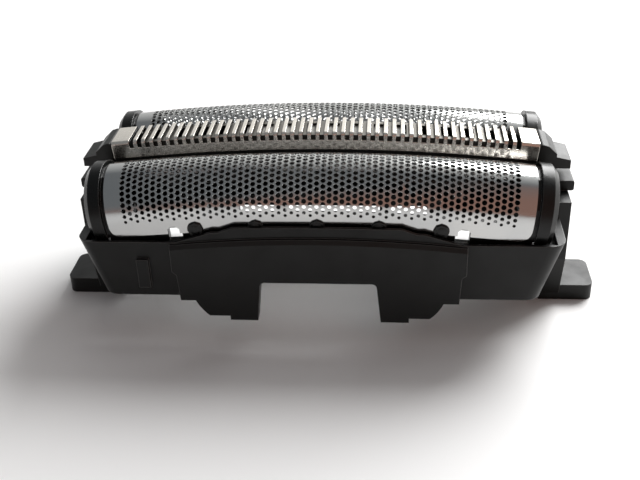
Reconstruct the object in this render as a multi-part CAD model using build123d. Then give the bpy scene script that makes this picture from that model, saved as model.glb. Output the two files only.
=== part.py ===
from build123d import *
import os
from math import asin, cos, degrees, radians, sin

# Shaver foil head: two floating arched foils and a sprung slotted trimmer in one moulded frame.
# Millimetres, +Z up, +X along the foils, -Y to the front.
# The origin is the middle of the footprint, on the surface that the two side ears rest on.

# Lengthwise crown that the foils, the comb and their carriers share
CROWN_RADIUS = 190.0

# How far a cutting tool reaches past what it cuts
CUT_REACH = 0.6

# Foils
FOIL_LENGTH = 42.2
FOIL_RADIUS = 4.2
FOIL_SHEET = 0.12
FOIL_LEG = 1.7
FOIL_CORNER = 1.2
FOIL_END_BAND = 1.5
FOIL_FLATS = 8
HOLE_PITCH = 5.2
HOLE_LENGTH = 3.4
HOLE_MARGIN = 0.3

# Foil carriers
SEAT_GAP = 0.04
BAR_THICKNESS = 0.7
SILL_HEIGHT = 2.1
FORMER_LENGTH = 1.2
FORMER_THICKNESS = 0.6
CHEEK_GAP = 0.4
CHEEK_THICKNESS = 1.7
CHEEK_RIM = 0.3
CHEEK_DROP = 2.3
CHEEK_ROUND = 0.55
PIN_PITCH = 6.15
PIN_COUNT = 5
PIN_RISE = 0.4
PIN_SHANK = 0.6
PIN_HEAD = 1.5
PIN_HEAD_THICKNESS = 0.2
PIN_SIDES = 8
SHANK_SIDES = 4
FOIL_TRAVEL = 1.2
EYE_X = 14.45
EYE_WIDTH = 1.3
EYE_RISE = 0.8
EYE_BACK_RISE = 0.6
EYE_BACK_DROP = 0.8
TONGUE_Y = 3.7
TONGUE_WIDTH = 1.0
TONGUE_HEIGHT = 0.8
TONGUE_REACH = 0.75

# Trimmer comb and blade
COMB_WIDTH = 4.2
COMB_SHEET = 0.2
COMB_RISE = 0.6
COMB_SIDE = 1.9
COMB_OVERHANG = 0.85
SLOT_COUNT = 47
SLOT_PITCH = 0.862
SLOT_WIDTH = 0.42
SLOT_DROP = 0.85
BLADE_GAP = 0.2
BLADE_SHEET = 0.25
BLADE_SIDE = 0.8
BLADE_EDGE = 0.6
BLADE_END_GAP = 0.4
BLADE_SLOT_WIDTH = 1.1
BLADE_PITCH = 2.3
BLADE_STROKE = 1.2

# Trimmer carrier and driver
TRIMMER_GAP = 0.3
TRIMMER_TRAVEL = 1.0
RAIL_THICKNESS = 0.7
RAIL_HEIGHT = 2.1
RAIL_GAP = 0.3
END_BLOCK = 1.9
CAP_WIDTH = 4.0
CAP_REACH = 3.2
CAP_SHOULDER = 0.9
CAP_BROW = 1.75
CAP_STEP = 0.35
CAP_NOSE = 0.9
CAP_ROUND = 0.3
LEG_WIDTH = 3.0
LEG_THICKNESS = 0.75
FOOT_REACH = 0.85
FOOT_HEIGHT = 1.4
FOOT_BLUNT = 0.45
DRIVER_WEB_LENGTH = 16.0
DRIVER_STEM_LENGTH = 8.0
DRIVER_DEPTH = 3.9
DRIVE_SLOT_WIDTH = 2.2
DRIVE_SLOT_DEPTH = 2.0

# Trimmer springs
SPRING_WIRE = 0.28
SPRING_RADIUS = 0.8
SPRING_TURNS = 3
SPRING_STEPS = 8
SPRING_POST = 0.95
SPRING_POST_HEIGHT = 0.65

# Frame
RUN_GAP = 0.1
REST_GAP = 0.1
EAR_THICKNESS = 1.8
EAR_REACH = 3.6
EAR_DEPTH = 5.4
EAR_OFFSET = -0.75
EAR_CORNER = 0.9
SKIRT_BOTTOM = 5.1
SKIRT_WALL = 1.2
SKIRT_CORNER = 1.5
SHELF_Z = 10.3
SHELF_THICKNESS = 1.0
SHELF_WIDTH = 2.5
RIM_HEIGHT = 0.9
LIP_THICKNESS = 0.35
END_GAP = 0.3
END_WALL = 0.9
END_TAPER = 2.0
TOWER_THICKNESS = 2.1
TOWER_WIDTH = 10.0
TOWER_FOOT = 6.4
TOWER_WAIST = 6.0
TOWER_TOP = 13.65
TAB_WIDTH = 4.6
TAB_THICKNESS = 1.1
TAB_REACH = 0.6
TAB_ROUND = 0.23
LATCH_WIDTH = 4.4
LATCH_HEIGHT = 6.0
LATCH_WALL = 1.1

# Skirt plates
PLATE_PROUD = 0.5
PLATE_TOP = 11.85
PLATE_BEVEL = 0.2
PLATE_ARCH = 0.8
PLATE_HALF_TOP = 14.5
PLATE_HALF_BOTTOM = 13.9
PLATE_NOTCH_Z = 8.1
PLATE_NOTCH = 0.35
LEG_PLATE_THICKNESS = 1.5
LEG_LEDGE = 4.8
LEG_STEP = 3.0
LEG_BOTTOM = 2.5
LEG_SIDE = 12.4
LEG_STEP_HALF = 11.1
LEG_HALF = 9.0
LEG_SWEEP = 5.4
WINDOW_TOP = 7.0
WINDOW_HALF_TOP = 5.75
WINDOW_HALF_BOTTOM = 6.25
WINDOW_CORNER = 0.5
REAR_WINDOW_TOP = 3.9
REAR_WINDOW_HALF = 11.4
PRONG_X = 6.3
PRONG_WIDTH = 1.2
APRON_BOTTOM = 2.6
APRON_CORNER = 1.0
LIP_TOP = 12.95
LIP_SHOULDER = 12.3
LIP_HALF = 8.2
LIP_STEP_RUN = 1.5
LIP_SHOULDER_HALF = 10.4
LIP_FOOT_HALF = 14.0
LUG_X = -17.4
LUG_Z = 7.8
LUG_SIZE = (1.2, 3.2)
LUG_PROUD = 0.4

# Places worked out from the sizes above
FOIL_Y = COMB_WIDTH / 2 + TRIMMER_GAP + FOIL_RADIUS
ARCH_CENTRE_R = CROWN_RADIUS - FOIL_RADIUS
FOIL_ANGLE = degrees(asin(FOIL_LENGTH / 2 / CROWN_RADIUS))
CHEEK_OUT = CHEEK_GAP + CHEEK_THICKNESS
END_SIN = sin(radians(FOIL_ANGLE))
END_COS = cos(radians(FOIL_ANGLE))
AXIS_Z = SHELF_Z + REST_GAP - (ARCH_CENTRE_R - CHEEK_DROP) * END_COS + CHEEK_OUT * END_SIN
CROWN_AXIS = Axis((0, 0, AXIS_Z), (0, 1, 0))
ARCH_CENTRE_Z = AXIS_Z + ARCH_CENTRE_R
COMB_TOP_Z = AXIS_Z + CROWN_RADIUS + COMB_RISE
COMB_HALF = FOIL_LENGTH / 2 + COMB_OVERHANG
COMB_ANGLE = degrees(asin(COMB_HALF / CROWN_RADIUS))
COMB_END_Z = AXIS_Z + (CROWN_RADIUS + COMB_RISE) * cos(radians(COMB_ANGLE))
POCKET_X = ARCH_CENTRE_R * END_SIN + CHEEK_OUT * END_COS + END_GAP
PIN_Z = ARCH_CENTRE_Z - FOIL_LEG + PIN_RISE
POCKET_Y = FOIL_Y + FOIL_RADIUS + SEAT_GAP + PIN_HEAD_THICKNESS + RUN_GAP
SKIRT_Y = POCKET_Y + LIP_THICKNESS
RIM_Z = SHELF_Z + RIM_HEIGHT
END_X = POCKET_X + END_WALL
TOWER_X = POCKET_X + TOWER_THICKNESS
PLATE_Y = SKIRT_Y + PLATE_PROUD
LEG_X = POCKET_X + RUN_GAP
LEG_OUT = LEG_X + LEG_THICKNESS
SLOT_X = LEG_OUT + RUN_GAP
FOOT_TOP = TOWER_TOP - TAB_THICKNESS - REST_GAP
SPRING_X = POCKET_X - SHELF_WIDTH / 2
SPRING_TOP = FOOT_TOP + SPRING_POST_HEIGHT
BLADE_HALF = COMB_WIDTH / 2 - COMB_SHEET - RUN_GAP
BLADE_TOP = COMB_TOP_Z - COMB_SHEET - BLADE_GAP
RAIL_TOP = BLADE_TOP - BLADE_SHEET - BLADE_SIDE - RAIL_GAP


def crown_place(angle):
    """Placement that swings a thing drawn at x = 0 along the crown."""
    return Pos(0, 0, AXIS_Z) * Rot(0, angle, 0) * Pos(0, 0, -AXIS_Z)


def bend(section, half_angle):
    """Sweep a section in the YZ plane both ways along the crown."""
    return revolve(section, CROWN_AXIS, 2 * half_angle).rotate(CROWN_AXIS, -half_angle)


def on_section(sketch, y=0.0, z=0.0):
    """Put a flat sketch in the YZ plane at x = 0."""
    return Pos(0, y, z) * (Plane.YZ * sketch)


def on_front(sketch, y):
    """Put a flat sketch in the XZ plane at a depth y, facing the front."""
    return Pos(0, y, 0) * (Plane.XZ * sketch)


def mirrored_pair(shape, plane):
    return shape + mirror(shape, about=plane)


def flat_turn(count):
    """Angle round the arch after a number of its flats."""
    return radians(180) * count / FOIL_FLATS


def arch_band(radius, thickness):
    """Section of the foil or of what lies under it: an arch of even flats on two straight legs."""
    outline = []
    for reach, turns in ((radius, range(FOIL_FLATS + 1)), (radius - thickness, range(FOIL_FLATS, -1, -1))):
        arch = [(reach * cos(flat_turn(turn)), reach * sin(flat_turn(turn))) for turn in turns]
        outline += [(arch[0][0], -FOIL_LEG), *arch, (arch[-1][0], -FOIL_LEG)]
    return make_face(Polyline(*outline, close=True))


def swing(along):
    """Placement along the crown of a thing drawn at x = 0."""
    return crown_place(degrees(asin(along / CROWN_RADIUS)))


def pin_places():
    """Placements of the pins: local +Z points out of the foil's legs, front and rear."""
    places = []
    for index in range(PIN_COUNT):
        along = (index - (PIN_COUNT - 1) / 2) * PIN_PITCH
        for side in (-1, 1):
            seat = Pos(0, side * FOIL_RADIUS - FOIL_Y, PIN_Z)
            places.append(swing(along) * seat * Rot(-side * 90, 0, 0))
    return places


def eye_blocks(width, bottom, top):
    """Tools for the small openings through a foil's legs or its carrier's bars, near both ends."""
    block = Pos(0, -FOIL_Y, (bottom + top) / 2) * Box(width, 2 * (FOIL_RADIUS + CUT_REACH), top - bottom)
    return [swing(along) * block for along in (-EYE_X, EYE_X)]


def hole_block(flat):
    """Tool for an oblong hole in one flat of the arch, following the crown."""
    width = 2 * (FOIL_RADIUS * sin(flat_turn(0.5)) - HOLE_MARGIN)
    section = Pos(FOIL_RADIUS * cos(flat_turn(0.5)), 0) * Rectangle(2 * CUT_REACH, width)
    section = Rot(0, 0, degrees(flat_turn(flat + 0.5))) * section
    face = on_section(section, -FOIL_Y, ARCH_CENTRE_Z)
    return bend(face, degrees(asin(HOLE_LENGTH / 2 / CROWN_RADIUS)))


def foil_holes():
    """A row of holes in each flat, staggered from row to row, clear of the plain bands at the ends."""
    reach = FOIL_LENGTH / 2 - FOIL_END_BAND - HOLE_LENGTH / 2
    holes = []
    for flat in range(FOIL_FLATS):
        block = hole_block(flat)
        shift = HOLE_PITCH / 2 if flat % 2 else 0.0
        low = -int((reach + shift) // HOLE_PITCH)
        high = int((reach - shift) // HOLE_PITCH)
        holes += [swing(shift + column * HOLE_PITCH) * block for column in range(low, high + 1)]
    return holes


def make_front_foil():
    section = on_section(arch_band(FOIL_RADIUS, FOIL_SHEET), -FOIL_Y, ARCH_CENTRE_Z)
    shank = extrude(RegularPolygon(PIN_SHANK / 2 + SEAT_GAP, SHANK_SIDES), CUT_REACH, both=True)
    edge_z = ARCH_CENTRE_Z - FOIL_LEG
    square = Pos(-FOIL_CORNER / 2, edge_z + FOIL_CORNER / 2) * Rectangle(FOIL_CORNER, FOIL_CORNER)
    scrap = square - Pos(-FOIL_CORNER, edge_z + FOIL_CORNER) * Circle(FOIL_CORNER)
    corner = crown_place(FOIL_ANGLE) * extrude(on_front(scrap, -FOIL_Y), 2 * FOIL_RADIUS, both=True)
    cuts = [corner, mirror(corner, about=Plane.YZ)]
    cuts += [place * shank for place in pin_places()]
    cuts += eye_blocks(EYE_WIDTH, edge_z - CUT_REACH, edge_z + EYE_RISE)
    return bend(section, FOIL_ANGLE) - cuts - foil_holes()


def make_front_carrier():
    bed = FOIL_RADIUS - FOIL_SHEET - SEAT_GAP
    bar = Pos(bed - BAR_THICKNESS / 2, -FOIL_LEG / 2) * Rectangle(BAR_THICKNESS, FOIL_LEG)
    bars = bend(on_section(mirrored_pair(bar, Plane.YZ), -FOIL_Y, ARCH_CENTRE_Z), FOIL_ANGLE)
    sill_z = SHELF_Z + REST_GAP + RUN_GAP + SILL_HEIGHT / 2
    sill = Box(2 * ARCH_CENTRE_R * END_SIN, BAR_THICKNESS, SILL_HEIGHT)
    sill = Pos(0, BAR_THICKNESS / 2 - bed - FOIL_Y, sill_z) * sill
    edge_z = ARCH_CENTRE_Z - FOIL_LEG
    eyes = eye_blocks(EYE_WIDTH + 2 * SEAT_GAP, edge_z - EYE_BACK_DROP, edge_z + EYE_BACK_RISE)

    flank = FOIL_Y - COMB_WIDTH / 2 - TRIMMER_GAP
    radius = FOIL_RADIUS + CHEEK_RIM
    disc = extrude(on_section(Circle(radius), -FOIL_Y, ARCH_CENTRE_Z), CHEEK_THICKNESS)
    disc = chamfer(disc.faces().sort_by(Axis.X)[-1].edges(), CHEEK_ROUND)
    outline = Rectangle(flank + radius, radius + CHEEK_DROP)
    outline = Pos((flank - radius) / 2, (radius - CHEEK_DROP) / 2) * outline
    keep = extrude(on_section(outline, -FOIL_Y, ARCH_CENTRE_Z), CHEEK_THICKNESS)
    cheek = Pos(CHEEK_GAP, 0, 0) * (disc & keep)
    former = arch_band(bed, FORMER_THICKNESS)
    former = extrude(on_section(former, -FOIL_Y, ARCH_CENTRE_Z), FORMER_LENGTH + CHEEK_GAP + CHEEK_ROUND)
    end = crown_place(FOIL_ANGLE) * (cheek + Pos(-FORMER_LENGTH, 0, 0) * former)

    tongue_in = POCKET_X - END_GAP - CHEEK_THICKNESS / 2
    tongue_length = POCKET_X + TONGUE_REACH - tongue_in
    tongue = Box(tongue_length, TONGUE_WIDTH, TONGUE_HEIGHT)
    tongue_z = SHELF_Z + REST_GAP + RUN_GAP + TONGUE_HEIGHT / 2
    end += Pos(tongue_in + tongue_length / 2, -TONGUE_Y, tongue_z) * tongue

    shank_length = SEAT_GAP + FOIL_SHEET + SEAT_GAP + BAR_THICKNESS / 2
    shank = extrude(RegularPolygon(PIN_SHANK / 2, SHANK_SIDES), -shank_length)
    head = extrude(RegularPolygon(PIN_HEAD / 2, PIN_SIDES), PIN_HEAD_THICKNESS)
    pins = [place * Pos(0, 0, SEAT_GAP) * (shank + head) for place in pin_places()]
    return (bars + sill - eyes) + mirrored_pair(end, Plane.YZ) + pins


def slot_stations(count, pitch):
    return [(index - (count - 1) / 2) * pitch for index in range(count)]


def crown_point(along, height):
    """Point in the side view at a height over the crown's middle, swung along the crown."""
    angle = asin(along / CROWN_RADIUS)
    radius = height - AXIS_Z
    return (radius * sin(angle), AXIS_Z + radius * cos(angle))


def crown_strip(stations, half_length, top, bottom, half_width):
    """Bar along the crown whose top runs straight from one station to the next."""
    upper = [crown_point(along, top) for along in (-half_length, *stations, half_length)]
    left_end = crown_point(-half_length, bottom)
    right_end = crown_point(half_length, bottom)
    under = ThreePointArc(left_end, crown_point(0, bottom), right_end)
    outline = Polyline(left_end, *upper, right_end)
    return extrude(on_front(make_face([*outline.edges(), under]), 0), half_width, both=True)


def slotted_channel(stations, half_length, top, side, sheet, half_width, slot):
    """Folded channel, open below, with a row of slots across its top."""
    outer = crown_strip(stations, half_length, top, top - side, half_width)
    bottom = top - side - CUT_REACH
    inner = crown_strip(stations, half_length + sheet, top - sheet, bottom, half_width - sheet)
    cuts = [swing(along) * Pos(0, 0, top) * slot for along in stations]
    return outer - inner - cuts


def make_comb():
    stations = slot_stations(SLOT_COUNT, SLOT_PITCH)
    slot = Box(SLOT_WIDTH, 2 * COMB_WIDTH, 2 * SLOT_DROP)
    return slotted_channel(stations, COMB_HALF, COMB_TOP_Z, COMB_SIDE, COMB_SHEET, COMB_WIDTH / 2, slot)


def make_blade():
    half_length = COMB_HALF - END_BLOCK - BLADE_STROKE - BLADE_END_GAP
    stations = slot_stations(int(2 * half_length // BLADE_PITCH), BLADE_PITCH)
    slot = Box(BLADE_SLOT_WIDTH, 2 * (BLADE_HALF - BLADE_EDGE), 2 * (BLADE_SHEET + BLADE_GAP))
    side = BLADE_SHEET + BLADE_SIDE
    return slotted_channel(stations, half_length, BLADE_TOP, side, BLADE_SHEET, BLADE_HALF, slot)


def make_driver():
    under = BLADE_TOP - BLADE_SHEET - SEAT_GAP
    web_half = BLADE_HALF - BLADE_SHEET - SEAT_GAP
    web_height = under - RAIL_TOP - RUN_GAP
    web = Pos(0, under - web_height / 2) * Rectangle(2 * web_half, web_height)
    driver = bend(on_section(web), degrees(asin(DRIVER_WEB_LENGTH / 2 / CROWN_RADIUS)))
    stem_half = COMB_WIDTH / 2 - COMB_SHEET - SEAT_GAP - RAIL_THICKNESS - 2 * RUN_GAP
    stem_top = under - web_height / 2
    stem = Box(DRIVER_STEM_LENGTH, 2 * stem_half, DRIVER_DEPTH)
    driver += Pos(0, 0, stem_top - DRIVER_DEPTH / 2) * stem
    notch = Box(DRIVE_SLOT_WIDTH, 4 * stem_half, 2 * DRIVE_SLOT_DEPTH)
    return driver - Pos(0, 0, stem_top - DRIVER_DEPTH) * notch


def spring_post(bottom):
    """Post that centres the right spring's end."""
    post = extrude(RegularPolygon(SPRING_POST / 2, SPRING_STEPS), SPRING_POST_HEIGHT)
    return Pos(SPRING_X, 0, bottom) * post


def make_trimmer_carrier():
    outer = COMB_WIDTH / 2 - COMB_SHEET - SEAT_GAP
    rail = Rectangle(RAIL_THICKNESS, RAIL_HEIGHT)
    rail = Pos(outer - RAIL_THICKNESS / 2, RAIL_TOP - RAIL_HEIGHT / 2) * rail
    rails = bend(on_section(mirrored_pair(rail, Plane.YZ)), COMB_ANGLE)

    block_top = COMB_TOP_Z - COMB_SHEET - SEAT_GAP
    block_bottom = RAIL_TOP - RAIL_HEIGHT
    block = Pos(0, (block_top + block_bottom) / 2) * Rectangle(2 * outer, block_top - block_bottom)
    block_angle = degrees(asin(END_BLOCK / CROWN_RADIUS))
    block = revolve(on_section(block), CROWN_AXIS, block_angle).rotate(CROWN_AXIS, COMB_ANGLE - block_angle)

    cap_in = COMB_HALF + SEAT_GAP
    cap_out = cap_in + CAP_REACH
    nose_top = COMB_END_Z - 2 * CAP_NOSE
    side = [
        (cap_in, COMB_END_Z),
        (cap_in + CAP_SHOULDER, COMB_END_Z - CAP_ROUND),
        (cap_in + CAP_BROW, nose_top + 2 * CAP_STEP),
        (cap_in + CAP_BROW, nose_top + CAP_STEP),
        (cap_out, nose_top),
        (cap_out, nose_top - CAP_NOSE),
        (cap_in, nose_top - CAP_NOSE),
    ]
    cap = extrude(on_front(make_face(Polyline(*side, close=True)), 0), CAP_WIDTH / 2, both=True)
    long_edges = cap.edges().filter_by(Axis.Y).sort_by(Axis.Z)[-2:]
    cap = fillet(long_edges, CAP_ROUND)

    foot_low = FOOT_TOP - FOOT_HEIGHT
    foot_side = [
        (LEG_X, nose_top),
        (LEG_OUT, nose_top),
        (LEG_OUT, FOOT_TOP),
        (LEG_OUT + FOOT_REACH, FOOT_TOP),
        (LEG_OUT + FOOT_REACH, FOOT_TOP - FOOT_BLUNT),
        (LEG_OUT, foot_low),
        (LEG_X, foot_low),
    ]
    leg = extrude(on_front(make_face(Polyline(*foot_side, close=True)), 0), LEG_WIDTH / 2, both=True)
    seat_in = SPRING_X - SPRING_RADIUS - SPRING_WIRE
    seat = Box(LEG_OUT - seat_in, LEG_WIDTH, nose_top - SPRING_TOP)
    seat = Pos((LEG_OUT + seat_in) / 2, 0, (nose_top + SPRING_TOP) / 2) * seat
    end = block + cap + leg + seat + spring_post(SPRING_TOP - SPRING_POST_HEIGHT)
    return rails + mirrored_pair(end, Plane.YZ)


def make_spring(x):
    height = SPRING_TOP - SHELF_Z - SPRING_WIRE
    count = round(SPRING_TURNS * SPRING_STEPS)
    points = []
    for index in range(count + 1):
        turn = radians(360 * index / SPRING_STEPS)
        points.append((SPRING_RADIUS * cos(turn), SPRING_RADIUS * sin(turn), height * index / count))
    path = Polyline(*points)
    wire = Plane(origin=path @ 0, z_dir=path % 0) * Rectangle(SPRING_WIRE, SPRING_WIRE)
    coil = sweep(wire, path, transition=Transition.RIGHT)
    return Pos(x, 0, SHELF_Z + SPRING_WIRE / 2) * coil


def plate_profile():
    """Front outline of the proud plate with its two legs, drawn in x and z."""
    top_side = PLATE_TOP - PLATE_ARCH
    top = ThreePointArc((-PLATE_HALF_TOP, top_side), (0, PLATE_TOP), (PLATE_HALF_TOP, top_side))
    right = Polyline(
        (PLATE_HALF_TOP, top_side),
        (PLATE_HALF_TOP, PLATE_NOTCH_Z),
        (PLATE_HALF_BOTTOM + PLATE_NOTCH / 2, PLATE_NOTCH_Z - PLATE_NOTCH),
        (PLATE_HALF_BOTTOM, LEG_LEDGE),
        (LEG_SIDE, LEG_LEDGE),
    )
    sweep_up = RadiusArc((LEG_SIDE, LEG_LEDGE), (LEG_STEP_HALF, LEG_STEP), LEG_SWEEP)
    rest = Polyline(
        (LEG_STEP_HALF, LEG_STEP),
        (LEG_HALF, LEG_STEP),
        (LEG_HALF, LEG_BOTTOM),
        (0, LEG_BOTTOM),
    )
    left = [mirror(curve, about=Plane.YZ) for curve in (right, sweep_up, rest)]
    return make_face([top, *right.edges(), sweep_up, *rest.edges()] + [e for c in left for e in c.edges()])


def window(top, half_top, half_bottom):
    """Outline of the gap between the legs, open below."""
    low = LEG_BOTTOM - CUT_REACH
    outline = Polyline((-half_bottom, low), (-half_top, top), (half_top, top), (half_bottom, low), close=True)
    face = make_face(outline)
    return fillet(face.vertices().sort_by(Axis.Y)[-2:], WINDOW_CORNER)


def skirt_cut(outline, y):
    """Tool that cuts an outline through a skirt and its plate."""
    return extrude(on_front(outline, y), SKIRT_WALL + PLATE_PROUD, both=True)


def skirt_plate():
    """Proud plate on the front skirt: thin over the skirt, thicker where its legs hang below."""
    outline = plate_profile()
    plate = extrude(on_front(outline, -SKIRT_Y + SKIRT_WALL / 2), PLATE_PROUD + SKIRT_WALL / 2)
    top_edges = plate.edges().filter_by(GeomType.CIRCLE).sort_by(Axis.Z)[-2:]
    top_front = top_edges.sort_by(Axis.Y)[0]
    plate = chamfer(top_front, PLATE_BEVEL, PLATE_PROUD)
    low = Pos(0, SKIRT_BOTTOM / 2) * Rectangle(2 * PLATE_HALF_TOP, SKIRT_BOTTOM)
    legs = extrude(on_front(outline & low, -PLATE_Y + LEG_PLATE_THICKNESS), LEG_PLATE_THICKNESS)
    return plate + legs


def rear_apron():
    """Lower edge of the rear skirt, which hangs below the front one."""
    half = END_X - END_TAPER - SKIRT_CORNER
    height = SKIRT_BOTTOM + SKIRT_WALL - APRON_BOTTOM
    face = Pos(0, APRON_BOTTOM + height / 2) * Rectangle(2 * half, height)
    face = fillet(face.vertices().sort_by(Axis.Y)[:2], APRON_CORNER)
    return extrude(on_front(face, SKIRT_Y), SKIRT_WALL)


def skirt_lip():
    """Thin lip that rises in front of the foil's pins, stepped down at its two ends."""
    right = Polyline(
        (LIP_HALF, LIP_TOP - RUN_GAP),
        (LIP_HALF + LIP_STEP_RUN, LIP_SHOULDER),
        (LIP_SHOULDER_HALF, LIP_SHOULDER),
        (LIP_FOOT_HALF, RIM_Z),
        (LIP_FOOT_HALF, SHELF_Z),
        (0, SHELF_Z),
    )
    top = ThreePointArc((-LIP_HALF, LIP_TOP - RUN_GAP), (0, LIP_TOP), (LIP_HALF, LIP_TOP - RUN_GAP))
    left = mirror(right, about=Plane.YZ)
    face = make_face([top, *right.edges(), *left.edges()])
    return extrude(on_front(face, -POCKET_Y), LIP_THICKNESS)


def tapered_block(low_half, high_half, bottom, top, half_depth):
    """Block whose two ends lean outwards."""
    corners = [(-low_half, bottom), (low_half, bottom), (high_half, top), (-high_half, top)]
    return extrude(on_front(make_face(Polyline(*corners, close=True)), 0), half_depth, both=True)


def skirt_shell():
    """Tapered ring of skirts and end walls, with the shelf and rim that hold the foil carriers."""
    shell = tapered_block(END_X - END_TAPER, END_X, SKIRT_BOTTOM, RIM_Z, SKIRT_Y)
    shell = fillet(shell.edges().sort_by(SortBy.LENGTH)[:4], SKIRT_CORNER)
    under = SHELF_Z - SHELF_THICKNESS
    room_y = SKIRT_Y - SKIRT_WALL
    room_low_x = END_X - END_TAPER - SKIRT_WALL
    room_high_x = room_low_x + END_TAPER * (under - SKIRT_BOTTOM) / (RIM_Z - SKIRT_BOTTOM)
    room = tapered_block(room_low_x, room_high_x, SKIRT_BOTTOM, under, room_y)
    mouth = Box(2 * (POCKET_X - SHELF_WIDTH), 2 * room_y, 4 * SHELF_THICKNESS)
    pocket = Pos(0, 0, SHELF_Z + RIM_HEIGHT) * Box(2 * POCKET_X, 2 * POCKET_Y, 2 * RIM_HEIGHT)
    return shell - room - Pos(0, 0, SHELF_Z) * mouth - pocket


def end_tower():
    """Tower on the right end wall, with its tab on top and the ear at its foot."""
    half = TOWER_WIDTH / 2
    foot = TOWER_FOOT / 2
    inner_x = END_X - END_TAPER - RUN_GAP
    side = Polyline((-foot, 0), (foot, 0), (half, TOWER_WAIST), (half, TOWER_TOP - TAB_THICKNESS),
                    (-half, TOWER_TOP - TAB_THICKNESS), (-half, TOWER_WAIST), close=True)
    tower = Pos(inner_x, 0, 0) * extrude(on_section(make_face(side)), TOWER_X - inner_x)
    shelf_room = Box(2 * (POCKET_X - inner_x), 2 * TOWER_WIDTH, 2 * (TOWER_TOP - SHELF_Z))
    tower -= Pos(inner_x, 0, TOWER_TOP) * shelf_room
    tab_length = TOWER_X + TAB_REACH - SLOT_X
    tab = Box(tab_length, TAB_WIDTH, TAB_THICKNESS)
    tab = Pos(SLOT_X + tab_length / 2, 0, TOWER_TOP - TAB_THICKNESS / 2) * tab
    tower += fillet(tab.edges().filter_by(Axis.Y).sort_by(Axis.X)[-2:], TAB_ROUND)

    ear_in = POCKET_X
    ear_length = TOWER_X + EAR_REACH - ear_in
    ear = Box(ear_length, EAR_DEPTH, EAR_THICKNESS)
    ear = fillet(ear.edges().filter_by(Axis.Z).sort_by(Axis.X)[-2:], EAR_CORNER)
    return tower + Pos(ear_in + ear_length / 2, EAR_OFFSET, EAR_THICKNESS / 2) * ear


def end_cuts():
    """Right end wall's guides for the trimmer leg and the foil tongues, and its latch recess."""
    guide_width = LEG_WIDTH + 2 * RUN_GAP
    window_low = FOOT_TOP - FOOT_HEIGHT - TRIMMER_TRAVEL - REST_GAP
    window_high = FOOT_TOP + REST_GAP
    leg_slot = Box(SLOT_X - POCKET_X, guide_width, 2 * (TOWER_TOP - window_low))
    foot_window = Box(TOWER_X, guide_width, window_high - window_low)
    cuts = [
        Pos((SLOT_X + POCKET_X) / 2, 0, TOWER_TOP) * leg_slot,
        Pos(SLOT_X + TOWER_X / 2, 0, (window_low + window_high) / 2) * foot_window,
    ]
    groove_high = SHELF_Z + REST_GAP + RUN_GAP + TONGUE_HEIGHT + FOIL_TRAVEL + RUN_GAP
    groove = Box(2 * (TONGUE_REACH + RUN_GAP), TONGUE_WIDTH + 2 * RUN_GAP, groove_high - SHELF_Z)
    for y in (-TONGUE_Y, TONGUE_Y):
        cuts.append(Pos(POCKET_X, y, (groove_high + SHELF_Z) / 2) * groove)
    recess_depth = TOWER_X - LATCH_WALL - POCKET_X + SHELF_WIDTH
    recess = Box(recess_depth, LATCH_WIDTH, LATCH_HEIGHT)
    cuts.append(Pos(TOWER_X - LATCH_WALL - recess_depth / 2, 0, LATCH_HEIGHT / 2) * recess)
    return cuts


def make_frame():
    frame = skirt_shell()
    frame += mirrored_pair(skirt_plate(), Plane.XZ) + rear_apron()
    front_gap = window(WINDOW_TOP, WINDOW_HALF_TOP, WINDOW_HALF_BOTTOM)
    prong = Pos(PRONG_X, LEG_BOTTOM) * Rectangle(PRONG_WIDTH, 2 * REAR_WINDOW_TOP)
    rear_gap = window(REAR_WINDOW_TOP, REAR_WINDOW_HALF, REAR_WINDOW_HALF) - mirrored_pair(prong, Plane.YZ)
    frame -= [skirt_cut(front_gap, -SKIRT_Y), skirt_cut(rear_gap, SKIRT_Y)]
    frame += mirrored_pair(skirt_lip(), Plane.XZ)
    frame += mirrored_pair(end_tower(), Plane.YZ)
    cuts = end_cuts()
    frame -= cuts + [mirror(cut, about=Plane.YZ) for cut in cuts]
    frame += mirrored_pair(spring_post(SHELF_Z), Plane.YZ)
    lug = Pos(LUG_X, -SKIRT_Y, LUG_Z) * Box(LUG_SIZE[0], 2 * LUG_PROUD, LUG_SIZE[1])
    return frame + lug


def save(shape, name):
    export_step(shape, os.path.join("parts", name + ".step"))


os.makedirs("parts", exist_ok=True)
front_foil = make_front_foil()
front_carrier = make_front_carrier()
save(make_frame(), "frame")
save(front_foil, "front_foil")
save(front_carrier, "front_foil_carrier")
save(mirror(front_foil, about=Plane.XZ), "rear_foil")
save(mirror(front_carrier, about=Plane.XZ), "rear_foil_carrier")
save(make_comb(), "trimmer_comb")
save(make_blade(), "trimmer_blade")
save(make_driver(), "trimmer_driver")
save(make_trimmer_carrier(), "trimmer_carrier")
save(make_spring(SPRING_X), "trimmer_spring_right")
save(make_spring(-SPRING_X), "trimmer_spring_left")
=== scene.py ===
from math import asin, cos, exp, pi, radians, sin, sqrt

import bmesh
import bpy
from mathutils import Matrix, Vector


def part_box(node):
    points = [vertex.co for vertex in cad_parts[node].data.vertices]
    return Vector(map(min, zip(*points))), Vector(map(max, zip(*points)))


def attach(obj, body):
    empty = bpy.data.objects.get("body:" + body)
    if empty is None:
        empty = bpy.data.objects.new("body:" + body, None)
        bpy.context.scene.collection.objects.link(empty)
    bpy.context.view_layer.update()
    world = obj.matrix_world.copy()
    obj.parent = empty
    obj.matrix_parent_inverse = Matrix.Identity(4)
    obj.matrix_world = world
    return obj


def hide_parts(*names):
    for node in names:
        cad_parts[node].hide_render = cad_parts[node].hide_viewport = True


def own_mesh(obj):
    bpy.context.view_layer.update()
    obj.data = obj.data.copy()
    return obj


# Shaver foil head: the looks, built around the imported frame. Metres, +Z up, -Y to the front.

MM = 0.001

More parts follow.
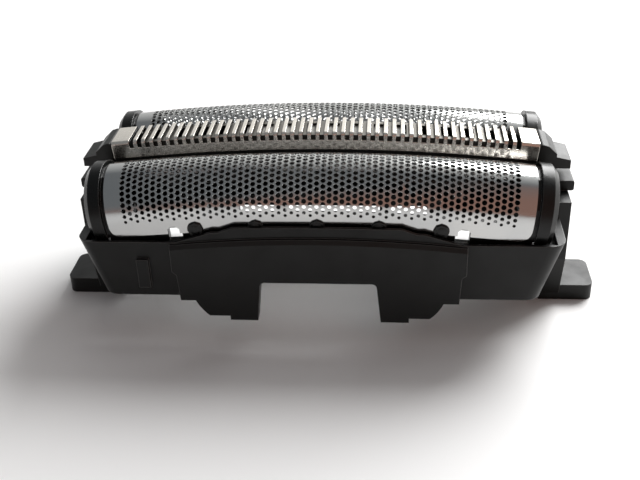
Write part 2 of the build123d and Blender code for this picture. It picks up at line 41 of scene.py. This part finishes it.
# Camera, fitted to the photograph
CAMERA_PIVOT = Vector((0.0, 0.0, 9.4 * MM))
CAMERA_AIM = Vector((-0.707 * MM, 0.0, 5.041 * MM))
CAMERA_DISTANCE = 102.953 * MM
CAMERA_ELEVATION = radians(27.885)
CAMERA_AZIMUTH = radians(4.633)
CAMERA_ROLL = radians(-1.914)
CAMERA_LENS_MM = 53.51
CAMERA_NEAR = 5 * MM

# Sizes that the solids share
CROWN_RADIUS = 190.0 * MM
FOIL_SHEET = 0.12 * MM
FOIL_LEG = 1.7 * MM
FOIL_CORNER = 1.2 * MM
PIN_PITCH = 6.15 * MM
PIN_COUNT = 5
PIN_RISE = 0.4 * MM
PIN_SEAT = 0.04 * MM
EYE_X = 14.45 * MM
EYE_WIDTH = 1.3 * MM
EYE_RISE = 0.8 * MM
COMB_SHEET = 0.2 * MM
COMB_SIDE = 1.9 * MM
SLOT_COUNT = 47
SLOT_PITCH = 0.862 * MM
SLOT_WIDTH = 0.42 * MM
SLOT_DROP = 0.85 * MM
SPRING_TURNS = 3

# Perforation of the foils: a staggered lattice of round holes that shrink towards the margins
HOLE_COLUMNS = 63
COLUMN_PITCH = 0.62 * MM
HOLE_PITCH = 0.58 * MM
HOLE_RADIUS = 0.255 * MM
SMALL_HOLE_RADIUS = 0.155 * MM
SHRINK_ROWS = 3.0
HOLE_SIDES = 12
PLAIN_MARGIN = 1.4 * MM

# Margins of the foils: strips past the lattice, and rows in the corners at shares of the corner's radius
END_STRIPS = 3
CORNER_SHARES = (0.13, 0.04, 0.0)
LEAST_ROW = 0.2 * FOIL_SHEET
LEAST_ROW_SHARE = 0.3
EYE_ROUND = 0.36 * MM
SHEET_DEPTHS = (0.0, FOIL_SHEET)

# Corners of a plain cell and of a cell with a hole, as steps along the foil and round the arch
PLAIN_CELL = ((0, 0), (1, 0), (1, 1), (0, 1))
HOLE_CELL = ((1, 1), (1, 2), (0, 2), (0, 1), (0, 0), (1, 0))

# Two small dents in the front foil: along it, round the arch from the crest
DENTS = ((-7.13 * MM, -3.87 * MM), (8.87 * MM, -3.7 * MM))
DENT_DEPTH = 0.07 * MM
DENT_RADIUS = 0.4 * MM

# Skirts that hang from the inner bars of the foil carriers near both ends
BAR_THICKNESS = 0.7 * MM
HANG_IN = 12.6 * MM
HANG_OUT = 20.5 * MM
HANG_BOTTOM = 9.2 * MM
HANG_SEAT = 0.1 * MM
HANG_STEPS = 4

# Comb, pins and springs
BEND_RADIUS = 0.36 * MM
BEND_STEPS = 5
TOOTH_ROUND = 0.07 * MM
TOOTH_SEGMENTS = 2
TOOTH_EDGE = radians(50)
DOME_RADIUS = 0.8 * MM
DOME_HEIGHT = 0.26 * MM
DOME_SIDES = 24
DOME_RINGS = 5
WIRE_RADIUS = 0.14 * MM
WIRE_SIDES = 10
COIL_STEPS = 36

# Edges sharper than these angles keep a crease: the first as a rule, the second on domes and the comb
CREASE = radians(40)
SOFT_CREASE = radians(60)

# Moulded plastics; noise scales are per metre, and tones and roughness run from low to high
CLOUD_NOISE = dict(scale=160.0, detail=4.0)
GLOSS_NOISE = dict(scale=420.0, detail=5.0)
GRAIN_NOISE = dict(scale=2600.0, detail=2.0)
GRAIN_DEPTH = 0.02 * MM
GRAIN_STRENGTH = 0.35
EDGE_RADIUS = 0.12 * MM
EDGE_SAMPLES = 6
# Where edges turn to each plastic's paler edge tone: partly rubbed wear, partly painted highlight
EDGE_ENDS = (0.88, 0.99)
PLASTIC_SPECULAR = 0.3
BLACK = ((0.002, 0.0024, 0.0023), (0.004, 0.0045, 0.0043))
SOFT_BLACK = ((0.004, 0.0045, 0.004), (0.007, 0.008, 0.007))
NATURAL = ((0.6, 0.6, 0.57), (0.68, 0.68, 0.65))
SATIN = (0.34, 0.5)
SEMI_GLOSS = (0.22, 0.36)
# Edge tones: partly rubbed wear, partly painted highlight
PLASTICS = {
    "frame_plastic": dict(tones=BLACK, edge=(0.1, 0.102, 0.1), rough=SATIN),
    "carrier_plastic": dict(tones=BLACK, edge=(0.06, 0.061, 0.06), rough=SEMI_GLOSS),
    "trimmer_plastic": dict(tones=SOFT_BLACK, edge=(0.07, 0.07, 0.07), rough=SATIN),
    "driver_plastic": dict(tones=NATURAL, edge=(0.75, 0.75, 0.73), rough=SATIN),
}

# Drawn steels; where given, the last entry names the axis that the faces with painted shade look along
TONE_NOISE = dict(scale=120.0, detail=3.0)
LINE_NOISE = dict(scale=900.0, detail=6.0, stretch=(1.0, 14.0, 14.0))
LINE_DEPTH = 0.004 * MM
LINE_STRENGTH = 0.3
FAINT_LINE_STRENGTH = 0.04
STEEP_ENDS = (0.35, 0.7)
# Painted shade: dark steel on faces that look along the given axis, hiding highlights on slot walls and the
# blade's sides
PAINTED_SHADE_STEEL = (0.05, 0.047, 0.043)
BRIGHT = ((0.49, 0.5, 0.5), (0.56, 0.56, 0.55))
WARM = ((0.78, 0.73, 0.66), (0.86, 0.82, 0.76))
# Painted shade: the blade's steel is darkened so that the comb's slots look shaded
SLOT_SHADE_DARK = ((0.16, 0.15, 0.135), (0.23, 0.22, 0.2))
GREY = ((0.5, 0.5, 0.51), (0.6, 0.6, 0.6))
STEELS = {
    "foil_steel": dict(tones=BRIGHT, rough=(0.1, 0.2), relief=LINE_STRENGTH),
    "comb_steel": dict(tones=WARM, rough=(0.22, 0.28), relief=FAINT_LINE_STRENGTH, shaded_axis="X"),
    "blade_steel": dict(tones=SLOT_SHADE_DARK, rough=(0.3, 0.45), relief=LINE_STRENGTH, shaded_axis="Y"),
    "spring_steel": dict(tones=GREY, rough=(0.2, 0.32), relief=LINE_STRENGTH),
}

# Where on a noise the ramp between two tones starts and ends
NOISE_ENDS = (0.3, 0.7)

# Colour sockets of Blender's mix node
MIX_FIRST = 6
MIX_SECOND = 7
MIX_RESULT = 2

# CAD nodes that show as they are, with the slot that each takes its look from
SHOWN_NODES = {
    "frame": "frame_plastic",
    "front_foil_carrier": "carrier_plastic",
    "rear_foil_carrier": "carrier_plastic",
    "trimmer_carrier": "trimmer_plastic",
    "trimmer_driver": "driver_plastic",
    "trimmer_blade": "blade_steel",
}

# Floor
FLOOR_HALF = 1.5
FLOOR_DROP = 0.01 * MM
FLOOR_NOISE = dict(scale=3.0, detail=2.0)
FLOOR_TONES = ((0.86, 0.86, 0.85), (0.9, 0.9, 0.9))
FLOOR_ROUGHNESS = 0.6

# Lamp at the window, behind the part on the right
LAMP_PLACE = Vector((0.2, 0.275, 0.25))
LAMP_AIM = Vector((0.0, 0.0, 0.01))
LAMP_SIZE = 0.32
LAMP_POWER = 3.1

# Room light: bright towards the window, brown low on the right and away from the window
WINDOW_WAY = Vector((0.55, 0.8, 0.2)).normalized()
WINDOW_ENDS = (0.3, 0.8)
ROOM_DARK = (0.21, 0.22, 0.23)
ROOM_BRIGHT = (1.0, 1.0, 0.98)
BROWN_TILT = Vector((-1.5, 0.0, 1.0))
BROWN_ENDS = (0.3, 0.75)
AWAY_ENDS = (0.15, 0.35)
ROOM_BROWN = (0.36, 0.21, 0.17)


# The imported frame, and the places read from it

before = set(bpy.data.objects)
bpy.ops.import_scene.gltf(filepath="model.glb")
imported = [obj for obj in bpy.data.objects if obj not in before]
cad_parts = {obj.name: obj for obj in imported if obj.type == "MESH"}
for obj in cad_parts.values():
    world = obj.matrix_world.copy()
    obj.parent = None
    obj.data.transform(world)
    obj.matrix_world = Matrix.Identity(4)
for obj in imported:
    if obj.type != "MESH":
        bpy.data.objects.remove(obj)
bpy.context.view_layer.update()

foil_low, foil_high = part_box("front_foil")
foil_radius = (foil_high.y - foil_low.y) / 2
foil_y = -(foil_high.y + foil_low.y) / 2
foil_half = foil_high.x
axis_z = foil_high.z - CROWN_RADIUS
arch_centre_z = foil_high.z - foil_radius
quarter_arc = pi / 2 * foil_radius
arc_end = quarter_arc + FOIL_LEG
last_hole_arc = arc_end - PLAIN_MARGIN
lattice_lines = [(line - HOLE_COLUMNS / 2) * COLUMN_PITCH for line in range(HOLE_COLUMNS + 1)]

_, comb_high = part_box("trimmer_comb")
comb_half_width = comb_high.y
comb_top = comb_high.z
comb_half = comb_high.x * CROWN_RADIUS / (comb_top - axis_z)


# Objects


def add_object(name, data):
    """Object in the scene that shows a mesh, a lamp or a camera."""
    obj = bpy.data.objects.new(name, data)
    bpy.context.scene.collection.objects.link(obj)
    return obj


def add_mesh(name, vertices, faces):
    """Object with a new mesh."""
    mesh = bpy.data.meshes.new(name)
    mesh.from_pydata(vertices, [], faces)
    mesh.validate()
    return add_object(name, mesh)


def add_piece(name, vertices, faces, crease=CREASE):
    """Closed mesh with its faces turned outwards, shaded smooth between its sharper edges."""
    piece = add_mesh(name, vertices, faces)
    shape = bmesh.new()
    shape.from_mesh(piece.data)
    bmesh.ops.recalc_face_normals(shape, faces=shape.faces)
    shape.to_mesh(piece.data)
    shape.free()
    piece.data.shade_smooth()
    piece.data.set_sharp_from_angle(angle=crease)
    return piece


def dress(obj, material):
    """Give an object one material."""
    obj.data.materials.clear()
    obj.data.materials.append(material)


def along_crown(along, y, z):
    """Swing a point drawn over the middle of the part along the lengthwise crown."""
    angle = asin(along / CROWN_RADIUS)
    height = z - axis_z
    return (height * sin(angle), y, axis_z + height * cos(angle))


# Materials


def shader(name):
    """Node material, with its node tree and its principled shader."""
    material = bpy.data.materials.new(name)
    material.use_nodes = True
    tree = material.node_tree
    return material, tree, tree.nodes["Principled BSDF"]


def rgba(tone):
    """A colour or a grey level as a socket takes it."""
    return (*tone, 1.0) if isinstance(tone, tuple) else (tone, tone, tone, 1.0)


def noise(tree, scale, detail, stretch=(1.0, 1.0, 1.0)):
    """Noise in the part's own metres, stretched along its axes."""
    place = tree.nodes.new("ShaderNodeTexCoord")
    mapping = tree.nodes.new("ShaderNodeMapping")
    mapping.inputs["Scale"].default_value = stretch
    texture = tree.nodes.new("ShaderNodeTexNoise")
    texture.inputs["Scale"].default_value = scale
    texture.inputs["Detail"].default_value = detail
    tree.links.new(place.outputs["Object"], mapping.inputs["Vector"])
    tree.links.new(mapping.outputs["Vector"], texture.inputs["Vector"])
    return texture.outputs["Fac"]


def ramp(tree, value, low, high, ends=NOISE_ENDS):
    """Ramp between two colours or two grey levels."""
    node = tree.nodes.new("ShaderNodeValToRGB")
    for element, place, tone in zip(node.color_ramp.elements, ends, (low, high)):
        element.position = place
        element.color = rgba(tone)
    tree.links.new(value, node.inputs["Fac"])
    return node.outputs["Color"]


def mix_colour(tree, factor, linked, plain):
    """Mix from a linked colour to a plain one."""
    node = tree.nodes.new("ShaderNodeMix")
    node.data_type = "RGBA"
    tree.links.new(factor, node.inputs["Factor"])
    tree.links.new(linked, node.inputs[MIX_FIRST])
    node.inputs[MIX_SECOND].default_value = rgba(plain)
    return node.outputs[MIX_RESULT]


def rounded_edges(tree):
    """Shading normal with small rounded edges."""
    bevel = tree.nodes.new("ShaderNodeBevel")
    bevel.samples = EDGE_SAMPLES
    bevel.inputs["Radius"].default_value = EDGE_RADIUS
    return bevel.outputs["Normal"]


def bump(tree, height, distance, strength, normal=None):
    """Shading normal with fine relief, on top of another normal where one is given."""
    node = tree.nodes.new("ShaderNodeBump")
    node.inputs["Distance"].default_value = distance
    node.inputs["Strength"].default_value = strength
    tree.links.new(height, node.inputs["Height"])
    if normal is not None:
        tree.links.new(normal, node.inputs["Normal"])
    return node.outputs["Normal"]


def worn_and_highlit_edges(tree, rounded):
    """Bright where the rounded normal leaves the flat one, which is along edges: partly rubbed wear, partly
    painted highlight.
    """
    geometry = tree.nodes.new("ShaderNodeNewGeometry")
    dot = tree.nodes.new("ShaderNodeVectorMath")
    dot.operation = "DOT_PRODUCT"
    tree.links.new(geometry.outputs["Normal"], dot.inputs[0])
    tree.links.new(rounded, dot.inputs[1])
    return ramp(tree, dot.outputs["Value"], 1.0, 0.0, EDGE_ENDS)


def steep_faces(tree, axis):
    """Mask for painted shade: high on faces that look along an axis of the part, such as the walls of its
    slots.
    """
    place = tree.nodes.new("ShaderNodeTexCoord")
    split = tree.nodes.new("ShaderNodeSeparateXYZ")
    size = tree.nodes.new("ShaderNodeMath")
    size.operation = "ABSOLUTE"
    tree.links.new(place.outputs["Normal"], split.inputs["Vector"])
    tree.links.new(split.outputs[axis], size.inputs[0])
    return ramp(tree, size.outputs["Value"], 0.0, 1.0, STEEP_ENDS)


def plastic(name, tones, edge, rough):
    """Moulded plastic: fine spark-eroded grain, uneven gloss, paler edges that are partly rubbed wear and
    partly painted highlight.
    """
    material, tree, principled = shader(name)
    rounded = rounded_edges(tree)
    body = ramp(tree, noise(tree, **CLOUD_NOISE), *tones)
    # Paler edges: partly rubbed wear, partly painted highlight
    colour = mix_colour(tree, worn_and_highlit_edges(tree, rounded), body, edge)
    roughness = ramp(tree, noise(tree, **GLOSS_NOISE), *rough)
    grain = bump(tree, noise(tree, **GRAIN_NOISE), GRAIN_DEPTH, GRAIN_STRENGTH, rounded)
    tree.links.new(colour, principled.inputs["Base Color"])
    tree.links.new(roughness, principled.inputs["Roughness"])
    tree.links.new(grain, principled.inputs["Normal"])
    principled.inputs["Specular IOR Level"].default_value = PLASTIC_SPECULAR
    return material


def steel(name, tones, rough, relief, shaded_axis=None):
    """Sheet metal with fine lines drawn lengthwise, and painted shade on the faces that look along an axis
    where one is given.
    """
    material, tree, principled = shader(name)
    lines = noise(tree, **LINE_NOISE)
    colour = ramp(tree, noise(tree, **TONE_NOISE), *tones)
    # Painted shade on the faces that look along the given axis
    if shaded_axis is not None:
        colour = mix_colour(tree, steep_faces(tree, shaded_axis), colour, PAINTED_SHADE_STEEL)
    tree.links.new(colour, principled.inputs["Base Color"])
    tree.links.new(ramp(tree, lines, *rough), principled.inputs["Roughness"])
    tree.links.new(bump(tree, lines, LINE_DEPTH, relief), principled.inputs["Normal"])
    principled.inputs["Metallic"].default_value = 1.0
    return material


# Foils


def dent_depth(along, arc):
    """How far the front foil is pushed in at a place."""
    depth = 0.0
    for dent_along, dent_arc in DENTS:
        away = ((along - dent_along) ** 2 + (arc - dent_arc) ** 2) / DENT_RADIUS ** 2
        depth += DENT_DEPTH * exp(-away)
    return depth


def arch_point(side_y, along, arc, depth):
    """Point of the foil: along its length, round its arch from the crest, at a depth under its face."""
    radius = foil_radius - depth - (dent_depth(along, arc) if side_y < 0 else 0.0)
    if abs(arc) <= quarter_arc:
        y = radius * sin(arc / foil_radius)
        z = radius * cos(arc / foil_radius)
    else:
        y = radius if arc > 0 else -radius
        z = quarter_arc - abs(arc)
    return along_crown(along, side_y + y, arch_centre_z + z)


def foil_rows():
    """Edges of the foil's rows, as places round its arch, and the number of extra rows in each corner."""
    step = HOLE_PITCH / 2
    last = int((arc_end - LEAST_ROW_SHARE * step) // step)
    arcs = [row * step for row in range(-last, last + 1)]
    corner = [arc_end - share * FOIL_CORNER for share in CORNER_SHARES]
    corner = [arc for arc in corner if arc > arcs[-1] + LEAST_ROW]
    return [-arc for arc in reversed(corner)] + arcs + corner, len(corner)


def strip_edge(line, arc):
    """Place along the foil of a strip's edge, which follows the rounded corner past the lattice."""
    if 0 <= line <= HOLE_COLUMNS:
        return lattice_lines[line]
    from_end = arc_end - abs(arc)
    cut = 0.0
    if from_end < FOIL_CORNER:
        cut = FOIL_CORNER - sqrt(FOIL_CORNER ** 2 - (FOIL_CORNER - from_end) ** 2)
    lattice_half = HOLE_COLUMNS * COLUMN_PITCH / 2
    share = (-line if line < 0 else line - HOLE_COLUMNS) / END_STRIPS
    reach = lattice_half + share * (foil_half - cut - lattice_half)
    return -reach if line < 0 else reach


def hole_size(arc):
    """Radius of a hole by how many rows it lies from the last one."""
    rows_left = (last_hole_arc - abs(arc)) / HOLE_PITCH
    share = min(1.0, max(0.0, rows_left / SHRINK_ROWS))
    return SMALL_HOLE_RADIUS + (HOLE_RADIUS - SMALL_HOLE_RADIUS) * share


def ring_faces(outer, inner):
    """Triangles between a closed outer loop and a closed inner one that run the same way round."""
    faces = []
    i = j = 0
    while i < len(outer) or j < len(inner):
        outer_next = (i + 1) / len(outer)
        inner_next = (j + 1) / len(inner)
        a = outer[i % len(outer)]
        b = inner[j % len(inner)]
        if j >= len(inner) or (i < len(outer) and outer_next <= inner_next):
            faces.append((a, outer[(i + 1) % len(outer)], b))
            i += 1
        else:
            faces.append((a, inner[(j + 1) % len(inner)], b))
            j += 1
    return faces


def make_foil(name, side_y):
    """Perforated sheet: strips round the arch that share edge points, with holes in staggered cells."""
    arcs, corner_rows = foil_rows()
    rows = range(len(arcs) - 1)
    strips = range(-END_STRIPS, HOLE_COLUMNS + END_STRIPS)
    lattice_rows = range(corner_rows, len(arcs) - corner_rows - 2)
    lattice_strips = range(HOLE_COLUMNS)
    vertices = []
    faces = []
    index = {}

    def strip_middle(strip):
        """Place along the foil of the middle of a strip in the lattice."""
        return (lattice_lines[strip] + lattice_lines[strip + 1]) / 2

    def is_open(strip, row):
        """Whether a strip's row lies outside the sheet or in one of the eyes at its lower edges."""
        if strip not in strips or row not in rows:
            return True
        if strip not in lattice_strips:
            return False
        in_eye = abs(abs(strip_middle(strip)) - EYE_X) < EYE_WIDTH / 2
        return in_eye and abs(arcs[row] + arcs[row + 1]) / 2 > arc_end - EYE_RISE

    def eye_shift(line, row):
        """How far a point at an eye's upper corner moves into the eye, so that the eye is round."""
        if not (0 < line < HOLE_COLUMNS and 0 < row < len(rows)):
            return 0.0
        before = [is_open(line - 1, row - 1), is_open(line - 1, row)]
        after = [is_open(line, row - 1), is_open(line, row)]
        if sum(before + after) != 1:
            return 0.0
        return EYE_ROUND if any(after) else -EYE_ROUND

    def has_hole(strip, row):
        """Whether a cell with a hole starts at a strip's row."""
        if strip not in lattice_strips or row not in lattice_rows:
            return False
        return (row - corner_rows + strip) % 2 == 0 and abs(arcs[row + 1]) <= last_hole_arc

    def add_plain_cell(strip, row):
        """One row of a strip, on both sides of the sheet."""
        for depth in SHEET_DEPTHS:
            faces.append([index[depth, strip + along, row + up] for along, up in PLAIN_CELL])

    def add_hole_cell(strip, row):
        """Two rows of a strip, on both sides of the sheet, with a round hole through the middle."""
        radius = hole_size(arcs[row + 1])
        rims = []
        for depth in SHEET_DEPTHS:
            outer = [index[depth, strip + along, row + up] for along, up in HOLE_CELL]
            rim = []
            for side in range(HOLE_SIDES):
                angle = 2 * pi * side / HOLE_SIDES
                place = strip_middle(strip) + radius * cos(angle)
                rim.append(len(vertices))
                vertices.append(arch_point(side_y, place, arcs[row + 1] + radius * sin(angle), depth))
            faces.extend(ring_faces(outer, rim))
            rims.append(rim)
        for side in range(HOLE_SIDES):
            other = (side + 1) % HOLE_SIDES
            faces.append((rims[0][other], rims[0][side], rims[1][side], rims[1][other]))

    def add_walls(strip, row):
        """Cut edges of the sheet round a strip's row, where nothing lies beside it."""
        sides = (
            (is_open(strip, row - 1), (strip + 1, row), (strip, row)),
            (is_open(strip + 1, row), (strip + 1, row + 1), (strip + 1, row)),
            (is_open(strip, row + 1), (strip, row + 1), (strip + 1, row + 1)),
            (is_open(strip - 1, row), (strip, row), (strip, row + 1)),
        )
        for bare, start, end in sides:
            if bare:
                upper = [index[(0.0, *start)], index[(0.0, *end)]]
                lower = [index[(FOIL_SHEET, *end)], index[(FOIL_SHEET, *start)]]
                faces.append(upper + lower)

    for depth in SHEET_DEPTHS:
        for line in range(strips[0], strips[-1] + 2):
            for row, arc in enumerate(arcs):
                index[depth, line, row] = len(vertices)
                place = strip_edge(line, arc) + eye_shift(line, row)
                vertices.append(arch_point(side_y, place, arc, depth))

    for strip in strips:
        row = 0
        while row in rows:
            if has_hole(strip, row):
                add_hole_cell(strip, row)
                row += 2
                continue
            if not is_open(strip, row):
                add_plain_cell(strip, row)
            row += 1

    for strip in strips:
        for row in rows:
            if not is_open(strip, row):
                add_walls(strip, row)

    return add_piece(name, vertices, faces)


# Foil carriers


def make_bar_skirts(name, side_y):
    """Thin walls under the carrier's inner bar, which close the view past the ends of the rear skirt."""
    inwards = -1 if side_y > 0 else 1
    foil_side_y = side_y + inwards * (foil_radius - FOIL_SHEET - PIN_SEAT)
    bay_side_y = foil_side_y - inwards * BAR_THICKNESS
    top = arch_centre_z - FOIL_LEG + HANG_SEAT
    # Corners of the wall's section, in order round it
    section = (0, 1, 3, 2)
    vertices = []
    faces = []
    for end in (-1, 1):
        start = len(vertices)
        for step in range(HANG_STEPS + 1):
            along = end * (HANG_IN + (HANG_OUT - HANG_IN) * step / HANG_STEPS)
            for wall_y in (bay_side_y, foil_side_y):
                x, y, z = along_crown(along, wall_y, top)
                vertices += [(x, y, z), (x, y, HANG_BOTTOM)]
        for cap in (start, len(vertices) - len(section)):
            faces.append([cap + corner for corner in section])
        for step in range(HANG_STEPS):
            near = start + len(section) * step
            far = near + len(section)
            for a, b in zip(section, section[1:] + section[:1]):
                faces.append((near + a, near + b, far + b, far + a))
    return add_piece(name, vertices, faces)


def make_pin_domes(name, side_y):
    """Melted heads of the pins that hold the foil, front and rear."""
    seat_z = arch_centre_z - FOIL_LEG + PIN_RISE
    vertices = []
    faces = []
    for pin in range(PIN_COUNT):
        along = (pin - (PIN_COUNT - 1) / 2) * PIN_PITCH
        for side in (-1, 1):
            seat_y = side_y + side * (foil_radius + PIN_SEAT)
            start = len(vertices)
            for ring in range(DOME_RINGS):
                lift = pi / 2 * ring / DOME_RINGS
                reach = DOME_RADIUS * cos(lift)
                ring_y = seat_y + side * DOME_HEIGHT * sin(lift)
                for turn in range(DOME_SIDES):
                    angle = 2 * pi * turn / DOME_SIDES
                    x, y, z = along_crown(along, ring_y, seat_z + reach * sin(angle))
                    vertices.append((x + reach * cos(angle), y, z))
            top = len(vertices) - DOME_SIDES
            crest = len(vertices)
            base = crest + 1
            vertices.append(along_crown(along, seat_y + side * DOME_HEIGHT, seat_z))
            vertices.append(along_crown(along, seat_y, seat_z))
            for turn in range(DOME_SIDES):
                other = (turn + 1) % DOME_SIDES
                for low in range(start, top, DOME_SIDES):
                    high = low + DOME_SIDES
                    faces.append((low + turn, low + other, high + other, high + turn))
                faces.append((top + turn, top + other, crest))
                faces.append((start + other, start + turn, base))
    return add_piece(name, vertices, faces, SOFT_CREASE)


# Trimmer comb


def comb_path(inset):
    """Half section of the folded channel from its lower edge up: distances from its middle and its top."""
    half = comb_half_width - inset
    radius = BEND_RADIUS - inset
    points = [(half, -COMB_SIDE), (half, -SLOT_DROP)]
    for step in range(BEND_STEPS + 1):
        angle = pi / 2 * step / BEND_STEPS
        y = comb_half_width - BEND_RADIUS + radius * cos(angle)
        points.append((y, -BEND_RADIUS + radius * sin(angle)))
    return points


def make_comb():
    """Slotted comb with rounded bends: teeth span the channel, and plain bands join them on both sides."""
    sections = []
    for inset in (0.0, COMB_SHEET):
        path = comb_path(inset)
        sections.append([(-y, z) for y, z in path] + path[::-1])
    count = len(sections[0])
    bands = (0, count - 2)

    stations = [-comb_half]
    for slot in range(SLOT_COUNT):
        middle = (slot - (SLOT_COUNT - 1) / 2) * SLOT_PITCH
        stations += [middle - SLOT_WIDTH / 2, middle + SLOT_WIDTH / 2]
    stations.append(comb_half)

    vertices = []
    faces = []
    for along in stations:
        for section in sections:
            vertices += [along_crown(along, y, comb_top + z) for y, z in section]

    def add_face(*corners):
        """Face between corners that are each given by station, section and point."""
        faces.append([(station * 2 + layer) * count + point for station, layer, point in corners])

    for station in range(len(stations) - 1):
        after = station + 1
        is_slot = station % 2 == 1
        points = bands if is_slot else range(count - 1)
        for point in points:
            above = point + 1
            for layer in (0, 1):
                add_face((station, layer, point), (after, layer, point),
                         (after, layer, above), (station, layer, above))
        rims = (0, count - 1, 1, count - 2) if is_slot else (0, count - 1)
        for point in rims:
            add_face((station, 0, point), (after, 0, point), (after, 1, point), (station, 1, point))
    for station in range(len(stations)):
        at_end = station in (0, len(stations) - 1)
        for point in range(count - 1):
            above = point + 1
            if at_end or point not in bands:
                add_face((station, 0, point), (station, 0, above), (station, 1, above), (station, 1, point))

    comb = add_piece("slotted_comb", vertices, faces, SOFT_CREASE)
    rounding = comb.modifiers.new("rounded_teeth", "BEVEL")
    rounding.width = TOOTH_ROUND
    rounding.segments = TOOTH_SEGMENTS
    rounding.harden_normals = True
    rounding.limit_method = "ANGLE"
    rounding.angle_limit = TOOTH_EDGE
    return comb


# Trimmer springs


def make_spring(name, node):
    """Round-wire coil in the place of the plain one."""
    low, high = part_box(node)
    middle = (low + high) / 2
    coil_radius = (high.x - low.x) / 2 - WIRE_RADIUS
    base = low.z + WIRE_RADIUS
    rise = high.z - low.z - 2 * WIRE_RADIUS
    steps = SPRING_TURNS * COIL_STEPS
    vertices = []
    faces = []
    for step in range(steps + 1):
        angle = 2 * pi * step / COIL_STEPS
        for side in range(WIRE_SIDES):
            around = 2 * pi * side / WIRE_SIDES
            reach = coil_radius + WIRE_RADIUS * cos(around)
            z = base + rise * step / steps + WIRE_RADIUS * sin(around)
            vertices.append((middle.x + reach * cos(angle), middle.y + reach * sin(angle), z))
    for step in range(steps):
        near = step * WIRE_SIDES
        far = near + WIRE_SIDES
        for side in range(WIRE_SIDES):
            other = (side + 1) % WIRE_SIDES
            faces.append((near + side, far + side, far + other, near + other))
    for cap in (0, steps * WIRE_SIDES):
        faces.append(tuple(range(cap, cap + WIRE_SIDES)))
    return add_piece(name, vertices, faces)


# Stage


def make_floor():
    """Plain pale table."""
    corners = [(x * FLOOR_HALF, y * FLOOR_HALF, 0.0) for x, y in ((-1, -1), (1, -1), (1, 1), (-1, 1))]
    floor = add_mesh("floor", corners, [(0, 1, 2, 3)])
    material, tree, principled = shader("pale_table")
    pale = ramp(tree, noise(tree, **FLOOR_NOISE), *FLOOR_TONES)
    tree.links.new(pale, principled.inputs["Base Color"])
    principled.inputs["Roughness"].default_value = FLOOR_ROUGHNESS
    dress(floor, material)
    floor.location.z = -FLOOR_DROP


def make_lamp():
    """Soft round lamp at the window."""
    data = bpy.data.lights.new("window", "AREA")
    data.shape = "DISK"
    data.size = LAMP_SIZE
    data.energy = LAMP_POWER
    lamp = add_object("window", data)
    lamp.location = LAMP_PLACE
    lamp.rotation_euler = (LAMP_AIM - LAMP_PLACE).to_track_quat("-Z", "Y").to_euler()


def make_world():
    """Dim room that is bright towards the window, and brown where it is both low and away from it."""
    world = bpy.data.worlds.new("room")
    world.use_nodes = True
    bpy.context.scene.world = world
    tree = world.node_tree
    place = tree.nodes.new("ShaderNodeTexCoord")

    def toward(way):
        """How far a direction of the room leans a given way."""
        dot = tree.nodes.new("ShaderNodeVectorMath")
        dot.operation = "DOT_PRODUCT"
        dot.inputs[1].default_value = way
        tree.links.new(place.outputs["Generated"], dot.inputs[0])
        return dot.outputs["Value"]

    window = toward(WINDOW_WAY)
    tone = ramp(tree, window, ROOM_DARK, ROOM_BRIGHT, WINDOW_ENDS)
    low = ramp(tree, toward(BROWN_TILT), 1.0, 0.0, BROWN_ENDS)
    away = ramp(tree, window, 1.0, 0.0, AWAY_ENDS)
    both = tree.nodes.new("ShaderNodeMath")
    both.operation = "MULTIPLY"
    tree.links.new(low, both.inputs[0])
    tree.links.new(away, both.inputs[1])
    tone = mix_colour(tree, both.outputs["Value"], tone, ROOM_BROWN)
    tree.links.new(tone, tree.nodes["Background"].inputs["Color"])


def make_camera():
    """Camera at the photograph's viewing angle."""
    level = cos(CAMERA_ELEVATION)
    back = Vector((sin(CAMERA_AZIMUTH) * level, -cos(CAMERA_AZIMUTH) * level, sin(CAMERA_ELEVATION)))
    place = CAMERA_PIVOT + back * CAMERA_DISTANCE
    forward = (CAMERA_AIM - place).normalized()
    level_right = forward.cross(Vector((0.0, 0.0, 1.0))).normalized()
    level_up = level_right.cross(forward)
    right = level_right * cos(CAMERA_ROLL) + level_up * sin(CAMERA_ROLL)
    up = level_up * cos(CAMERA_ROLL) - level_right * sin(CAMERA_ROLL)
    data = bpy.data.cameras.new("camera")
    data.lens = CAMERA_LENS_MM
    data.clip_start = CAMERA_NEAR
    camera = add_object("camera", data)
    camera.matrix_world = Matrix((
        (right.x, up.x, -forward.x, place.x),
        (right.y, up.y, -forward.y, place.y),
        (right.z, up.z, -forward.z, place.z),
        (0.0, 0.0, 0.0, 1.0),
    ))
    bpy.context.scene.camera = camera


# The part

looks = {slot: plastic(slot, **look) for slot, look in PLASTICS.items()}
looks.update({slot: steel(slot, **look) for slot, look in STEELS.items()})

for node, slot in SHOWN_NODES.items():
    dress(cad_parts[node], looks[slot])

for end, side in (("front", -1), ("rear", 1)):
    foil = make_foil(end + "_foil_sheet", side * foil_y)
    dress(foil, looks["foil_steel"])
    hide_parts(end + "_foil")
    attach(foil, end + "_foil_unit")
    for make, name in ((make_pin_domes, "_pin_heads"), (make_bar_skirts, "_bar_skirts")):
        piece = make(end + name, side * foil_y)
        dress(piece, looks["carrier_plastic"])
        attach(piece, end + "_foil_unit")

comb = make_comb()
dress(comb, looks["comb_steel"])
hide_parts("trimmer_comb")
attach(comb, "trimmer_unit")

for end in ("left", "right"):
    node = "trimmer_spring_" + end
    spring = make_spring("coil_spring_" + end, node)
    dress(spring, looks["spring_steel"])
    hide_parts(node)
    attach(spring, "frame")
    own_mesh(spring)

make_floor()
make_lamp()
make_world()
make_camera()
bpy.context.scene.view_settings.view_transform = "Standard"
